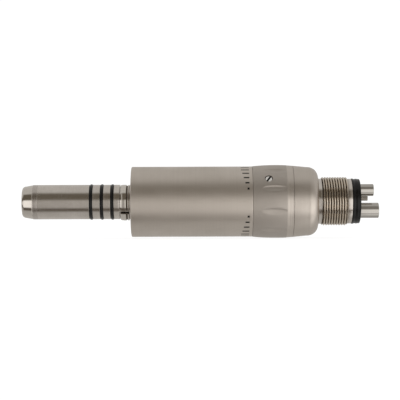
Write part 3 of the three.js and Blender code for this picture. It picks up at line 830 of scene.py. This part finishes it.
def hose_connector():
    """The threaded neck, with holes for the tubes. It is one closed surface wound from the flange to the collar."""
    flange_end = CONNECTOR_FRONT + CONNECTOR_FLANGE_LENGTH
    front = [
        (CONNECTOR_FRONT, 0),
        (CONNECTOR_FRONT, CONNECTOR_FLANGE_RADIUS, 0.1),
        (flange_end, CONNECTOR_FLANGE_RADIUS, 0.1),
        (flange_end, NECK_RADIUS),
        (THREAD_FROM - 0.25, NECK_RADIUS, 0.06),
        (THREAD_FROM - 0.15, THREAD_ROOT),
    ]
    rear = [
        (THREAD_TO + 0.06, RELIEF_RADIUS),
        (THREAD_TO + 0.2, RELIEF_RADIUS),
        (THREAD_TO + 0.26, COLLAR_RADIUS),
        (CONNECTOR_REAR, COLLAR_RADIUS, 0.08),
        (CONNECTOR_REAR, 0),
    ]
    rows = round((THREAD_TO - THREAD_FROM) / THREAD_PITCH * THREAD_ROWS_PER_TURN)
    stations = [THREAD_FROM + (THREAD_TO - THREAD_FROM) * k / rows for k in range(rows + 1)]
    outline = rounded(front) + [(x, None) for x in stations] + rounded(rear)
    sides = CONNECTOR_SIDES
    points = []
    for x, radius in outline:
        for k in range(sides):
            r = thread_radius(x, k / sides) if radius is None else max(radius, 0.02)
            points.append(around(-360 * k / sides, r, x))
    faces = []
    for i in range(len(outline) - 1):
        a, b = i * sides, (i + 1) * sides
        for k in range(sides):
            n = (k + 1) % sides
            faces.append((a + k, a + n, b + n, b + k))
    faces.append(tuple(range(sides))[::-1])
    faces.append(tuple((len(outline) - 1) * sides + k for k in range(sides)))
    piece = new_object("hose_connector_body", points, faces)
    cutters = tube_holes(CONNECTOR_FRONT + 0.5, CONNECTOR_REAR + 1, 0.07)
    middle = Vector(around(DIMPLE_ANGLE, COLLAR_RADIUS, CONNECTOR_REAR - 0.35))
    cutters.append(drill("dimple", middle * 0.98, middle * 1.05, DIMPLE_RADIUS, 16))
    carve(piece, cutters)
    finish_piece(piece, TURNED, "motor_body", ["hose_connector"])
    root = THREAD_ROOT + 0.25 * (THREAD_CREST - THREAD_ROOT)
    paint(piece, OILED, lambda middle: THREAD_FROM < middle.x < THREAD_TO and middle.yz.length > root)
    # The thread roots get the dark recess colour: painted shade.
    paint(piece, RECESS_SHADE, lambda middle: THREAD_FROM < middle.x < THREAD_TO and 5 < middle.yz.length < root)


def connector_gasket():
    """The rubber end piece, with ribs round its edge and a hole for each tube."""
    outline = rounded(
        [
            (GASKET_FRONT, 0),
            (GASKET_FRONT, GASKET_RADIUS + 0.08, 0.08),
            (GASKET_FRONT + 0.35, GASKET_RADIUS + 0.06, 0.12),
            (GASKET_FRONT + 0.75, GASKET_RADIUS - 0.1, 0.3),
            (GASKET_FRONT + 1.35, GASKET_RADIUS, 0.3),
            (GASKET_FRONT + 1.8, GASKET_RADIUS - 0.08, 0.3),
            (GASKET_REAR, GASKET_RADIUS - 0.06, 0.2),
            (GASKET_REAR, 0),
        ]
    )
    piece = revolve("gasket", outline)
    carve(piece, tube_holes(GASKET_FRONT - 1, GASKET_REAR + 1, 0.04))
    finish_piece(piece, RUBBER, "motor_body", ["connector_gasket"])


def stub_tube(name, wall, material, shorter=0.0):
    """An open tube where the CAD's is, with a rounded lip."""
    front, rear, _ = span(name)
    middle = centre(name)
    radius = tube_radius(name)
    end = rear - shorter
    lip = wall * 0.45
    outline = rounded([(front, radius), (end, radius, lip), (end, radius - wall, lip), (front, radius - wall)])
    piece = revolve(name + "_stub", outline, SMALL)
    piece.data.transform(Matrix.Translation((0, middle.y * MM, middle.z * MM)))
    finish_piece(piece, material, "motor_body", [name])


# ---- Drive dog, seen inside the nose ----

FORK_WIDTH = 1.6
FORK_DEPTH = 3.0
DOG_BORE, DOG_BORE_END = 1.6, DOG_FRONT + 4.8
PIN_HOLE_RADIUS = 0.52


def drive_dog():
    """The sliding fork that turns the handpiece's shaft."""
    outline = rounded(
        [
            (DOG_FRONT, 0),
            (DOG_FRONT, DOG_RADIUS, 0.3),
            (DOG_REAR, DOG_RADIUS, 0.15),
            (DOG_REAR, DOG_BORE),
            (DOG_BORE_END, DOG_BORE),
            (DOG_BORE_END, 0),
        ]
    )
    piece = revolve("drive_dog_body", outline, MEDIUM)
    pin = centre("dog_pin")
    cutters = [
        block("fork", (FORK_DEPTH + 1, FORK_WIDTH, 2 * DOG_RADIUS + 1), (DOG_FRONT + (FORK_DEPTH - 1) / 2, 0, 0)),
        drill("pin_hole", (pin.x, -4, 0), (pin.x, 4, 0), PIN_HOLE_RADIUS, 32),
    ]
    carve(piece, cutters)
    finish_piece(piece, BEARING, "drive_dog", ["drive_dog"])
    # The fork's slot gets the dark recess colour: painted shade that makes the fork read.
    floor_x = DOG_FRONT + FORK_DEPTH + 0.01
    paint(piece, RECESS_SHADE, lambda middle: middle.x < floor_x and abs(middle.y) < FORK_WIDTH / 2 + 0.001)


# ---- Springs ----

DETENT_SPRING_FROM = 5.68
DETENT_SPRING_TO = 7.62
DOG_COIL = {"radius": 2.05, "wire": 0.24, "turns": 5}
DETENT_COIL = {"radius": 0.58, "wire": 0.13, "turns": 4}
STEPS_PER_TURN = 32
WIRE_SIDES = 10


def coil(name, start, end, radius, wire, turns):
    """A round wire, of radius wire, wound about the line between two points."""
    run = Vector(end) - Vector(start)
    rise = run.length - 2 * wire
    steps, sides = STEPS_PER_TURN * turns, WIRE_SIDES
    slope = rise / (2 * math.pi * turns)
    points = []
    for k in range(steps + 1):
        angle = 2 * math.pi * turns * k / steps
        outward = Vector((0, math.cos(angle), math.sin(angle)))
        forward = Vector((slope, -radius * math.sin(angle), radius * math.cos(angle))).normalized()
        middle = Vector((wire + rise * k / steps, 0, 0)) + outward * radius
        for s in range(sides):
            turn = 2 * math.pi * s / sides
            points.append(middle + wire * (math.cos(turn) * outward + math.sin(turn) * forward.cross(outward)))
    faces = [tuple(range(sides))]
    for k in range(steps):
        a, b = k * sides, (k + 1) * sides
        faces += [(a + s, b + s, b + (s + 1) % sides, a + (s + 1) % sides) for s in range(sides)]
    faces.append(tuple(steps * sides + s for s in range(sides))[::-1])
    piece = new_object(name, points, faces)
    turn = Vector((1, 0, 0)).rotation_difference(run).to_matrix().to_4x4()
    piece.data.transform(Matrix.Translation(Vector(start) * MM) @ turn)
    return piece


def shortening(piece):
    """Gives a spring its own copy of its mesh."""
    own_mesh(piece)


def springs():
    """The spring behind the drive dog and the one under the detent ball."""
    free, fixed = [(x, 0, 0) for x in span("dog_spring")[:2]]
    piece = coil("dog_spring_wire", free, fixed, **DOG_COIL)
    finish_piece(piece, SPRING, "rotor", ["dog_spring"], sharp=50)
    shortening(piece)
    ball = centre("detent_ball")
    outward = Vector((0, ball.y, ball.z)).normalized()
    foot = Vector((ball.x, 0, 0))
    fixed, free = foot + outward * DETENT_SPRING_FROM, foot + outward * DETENT_SPRING_TO
    piece = coil("detent_spring_wire", fixed, free, **DETENT_COIL)
    finish_piece(piece, SPRING, "motor_body", ["detent_spring"], sharp=50)
    shortening(piece)


# ---- Stage, light and camera ----

ROOM_RADIUS = 900
ROOM_HEIGHT = 1300
ROOM_BEND = 400
ROOM_GLOW = 0.86


def floor():
    """A pale round floor that turns up into a wall and a ceiling. Reflections look past it at the studio's lights."""
    level = cad_box[0].z / MM
    middle = (cad_box[0].x + cad_box[1].x) / 2 / MM
    top = level + ROOM_HEIGHT
    wall = [(ROOM_RADIUS, level, ROOM_BEND), (ROOM_RADIUS, top, ROOM_BEND)]
    outline = rounded([(1, level), *wall, (1, top)], step=5)
    points = []
    for radius, z in outline:
        for k in range(MEDIUM):
            turn = 2 * math.pi * k / MEDIUM
            points.append((middle + radius * math.cos(turn), radius * math.sin(turn), z))
    faces = [tuple(range(MEDIUM))]
    for row in range(len(outline) - 1):
        a, b = row * MEDIUM, (row + 1) * MEDIUM
        faces += [(a + k, b + k, b + (k + 1) % MEDIUM, a + (k + 1) % MEDIUM) for k in range(MEDIUM)]
    faces.append(tuple((len(outline) - 1) * MEDIUM + k for k in range(MEDIUM)))
    piece = new_object("floor", points, faces)
    piece.data.shade_smooth()
    shader = Shader("paper")
    paper = shader.noise((0.05, 0.05, 0.05), detail=3)
    shader.set(color=shader.tint(paper, (0.16, 0.16, 0.16), (0.18, 0.18, 0.18)), roughness=0.9, specular=0.1)
    shader.surface.inputs["Emission Color"].default_value = (1, 1, 1, 1)
    shader.surface.inputs["Emission Strength"].default_value = ROOM_GLOW
    piece.data.materials.append(shader.material)
    piece.visible_glossy = False


# The studio by the angle up from the camera's side: a bright tent above, behind and below, and warm dark gaps in front.
TENT = [
    (-180, (0.64, 0.63, 0.61)),
    (-120, (0.60, 0.59, 0.57)),
    (-72, (0.52, 0.51, 0.49)),
    (-60, (0.14, 0.12, 0.10)),
    (-40, (0.14, 0.12, 0.10)),
    (0, (0.16, 0.14, 0.11)),
    (56, (0.16, 0.14, 0.11)),
    (68, (0.68, 0.67, 0.65)),
    (180, (0.68, 0.67, 0.65)),
]

# A long white panel in front of the motor, below the camera's line of sight.
PANEL = [(-46, 0.0), (-38, 1.0), (8, 1.0), (19, 0.0)]

# The panel's brightness by the sideways part of the direction: it's dimmer around the camera.
PANEL_ALONG = [
    (-1, 0.8), (-0.65, 0.85), (-0.52, 1.4), (-0.42, 0.95), (-0.28, 0.3), (-0.12, 0.4), (-0.06, 0.36), (-0.03, 0.24),
    (0.0, 0.27), (0.02, 0.38), (0.05, 0.64), (0.075, 0.96), (0.12, 1.15), (0.25, 1.25), (0.4, 1.5), (1, 1.4),
]

# A second panel to the right of the camera reaches further down.
LOW_PANEL = [(-95, 0.0), (-72, 1.0), (-46, 1.0), (-36, 0.0)]
LOW_PANEL_ALONG = [(0.13, 0.0), (0.2, 0.75), (1, 0.95)]

# A faint third one fills the dark gap above the camera on both sides.
HIGH_PANEL = [(8, 0.0), (20, 1.0), (50, 1.0), (62, 0.0)]
HIGH_PANEL_ALONG = [(-0.41, 0.0), (-0.36, 0.4), (-0.27, 0.4), (-0.24, 0.0), (0.13, 0.0), (0.2, 0.22), (1, 0.25)]


def studio():
    """A light tent as the world, which depends on the direction about the motor's axis and along it."""
    world = bpy.data.worlds.new("studio")
    bpy.context.scene.world = world
    world.use_nodes = True
    nodes, links = world.node_tree.nodes, world.node_tree.links
    split = nodes.new("ShaderNodeSeparateXYZ")
    links.new(nodes.new("ShaderNodeTexCoord").outputs["Generated"], split.inputs[0])

    def calculate(operation, *values):
        node = nodes.new("ShaderNodeMath")
        node.operation = operation
        for socket, value in zip(node.inputs, values):
            if isinstance(value, (int, float)):
                socket.default_value = value
            else:
                links.new(value, socket)
        return node.outputs[0]

    def ramp(share, stops):
        node = nodes.new("ShaderNodeValToRGB")
        elements = node.color_ramp.elements
        elements.remove(elements[1])
        elements[0].position = stops[0][0]
        for place, _ in stops[1:]:
            elements.new(place)
        for stop, (_, color) in zip(elements, stops):
            stop.color = (*color, 1) if isinstance(color, tuple) else (color, color, color, 1)
        links.new(share, node.inputs[0])
        return node.outputs[0]

    front = calculate("MULTIPLY", split.outputs["Y"], -1.0)
    turn = calculate("DIVIDE", calculate("ARCTAN2", split.outputs["Z"], front), 2 * math.pi)
    share = calculate("ADD", turn, 0.5)
    tent = ramp(share, [(angle / 360 + 0.5, color) for angle, color in TENT])
    along = calculate("ADD", calculate("MULTIPLY", split.outputs["X"], 0.5), 0.5)
    panel_level = 0.0
    for around_axis, along_axis in [
        (PANEL, PANEL_ALONG),
        (LOW_PANEL, LOW_PANEL_ALONG),
        (HIGH_PANEL, HIGH_PANEL_ALONG),
    ]:
        level = ramp(share, [(angle / 360 + 0.5, level) for angle, level in around_axis])
        reach = ramp(along, [((x + 1) / 2, level) for x, level in along_axis])
        panel_level = calculate("ADD", calculate("MULTIPLY", level, reach), panel_level)
    both = nodes.new("ShaderNodeVectorMath")
    both.operation = "ADD"
    links.new(tent, both.inputs[0])
    links.new(panel_level, both.inputs[1])
    links.new(both.outputs[0], nodes["Background"].inputs["Color"])


SENSOR_WIDTH = 36
PICTURE_WIDTH = 116  # what the picture's width covers at the motor's axis
DISTANCE = 406
AIM = (-46.1, 0, 0.48)
ROLL = 0.2


def camera():
    """Level with the motor, on its near side."""
    data = bpy.data.cameras.new("camera")
    data.sensor_width = SENSOR_WIDTH
    data.lens = DISTANCE * SENSOR_WIDTH / PICTURE_WIDTH
    data.clip_start = 0.01
    eye = bpy.data.objects.new("camera", data)
    eye.location = Vector((AIM[0], -DISTANCE, AIM[2])) * MM
    eye.rotation_euler = (math.radians(90), math.radians(ROLL), 0)
    bpy.context.scene.collection.objects.link(eye)
    bpy.context.scene.camera = eye


# ---- Build ----

dress_cad_nodes()
spigot()
for seal in SEALS:
    seal_ring(seal)
retaining_ring()
outer_sleeve()
control_ring()
ring_screw()
rear_cap()
hose_connector()
connector_gasket()
stub_tube("exhaust_tube", 0.35, TUBE, 0.25)
stub_tube("drive_air_tube", 0.42, TUBE, 0.25)
# The two small tubes get the darker tube colour, a painted shade from the tubes beside them.
stub_tube("water_tube", 0.28, SHADED_TUBE)
stub_tube("chip_air_tube", 0.28, SHADED_TUBE)
drive_dog()
springs()

floor()
studio()
camera()
bpy.context.scene.view_settings.view_transform = "Standard"
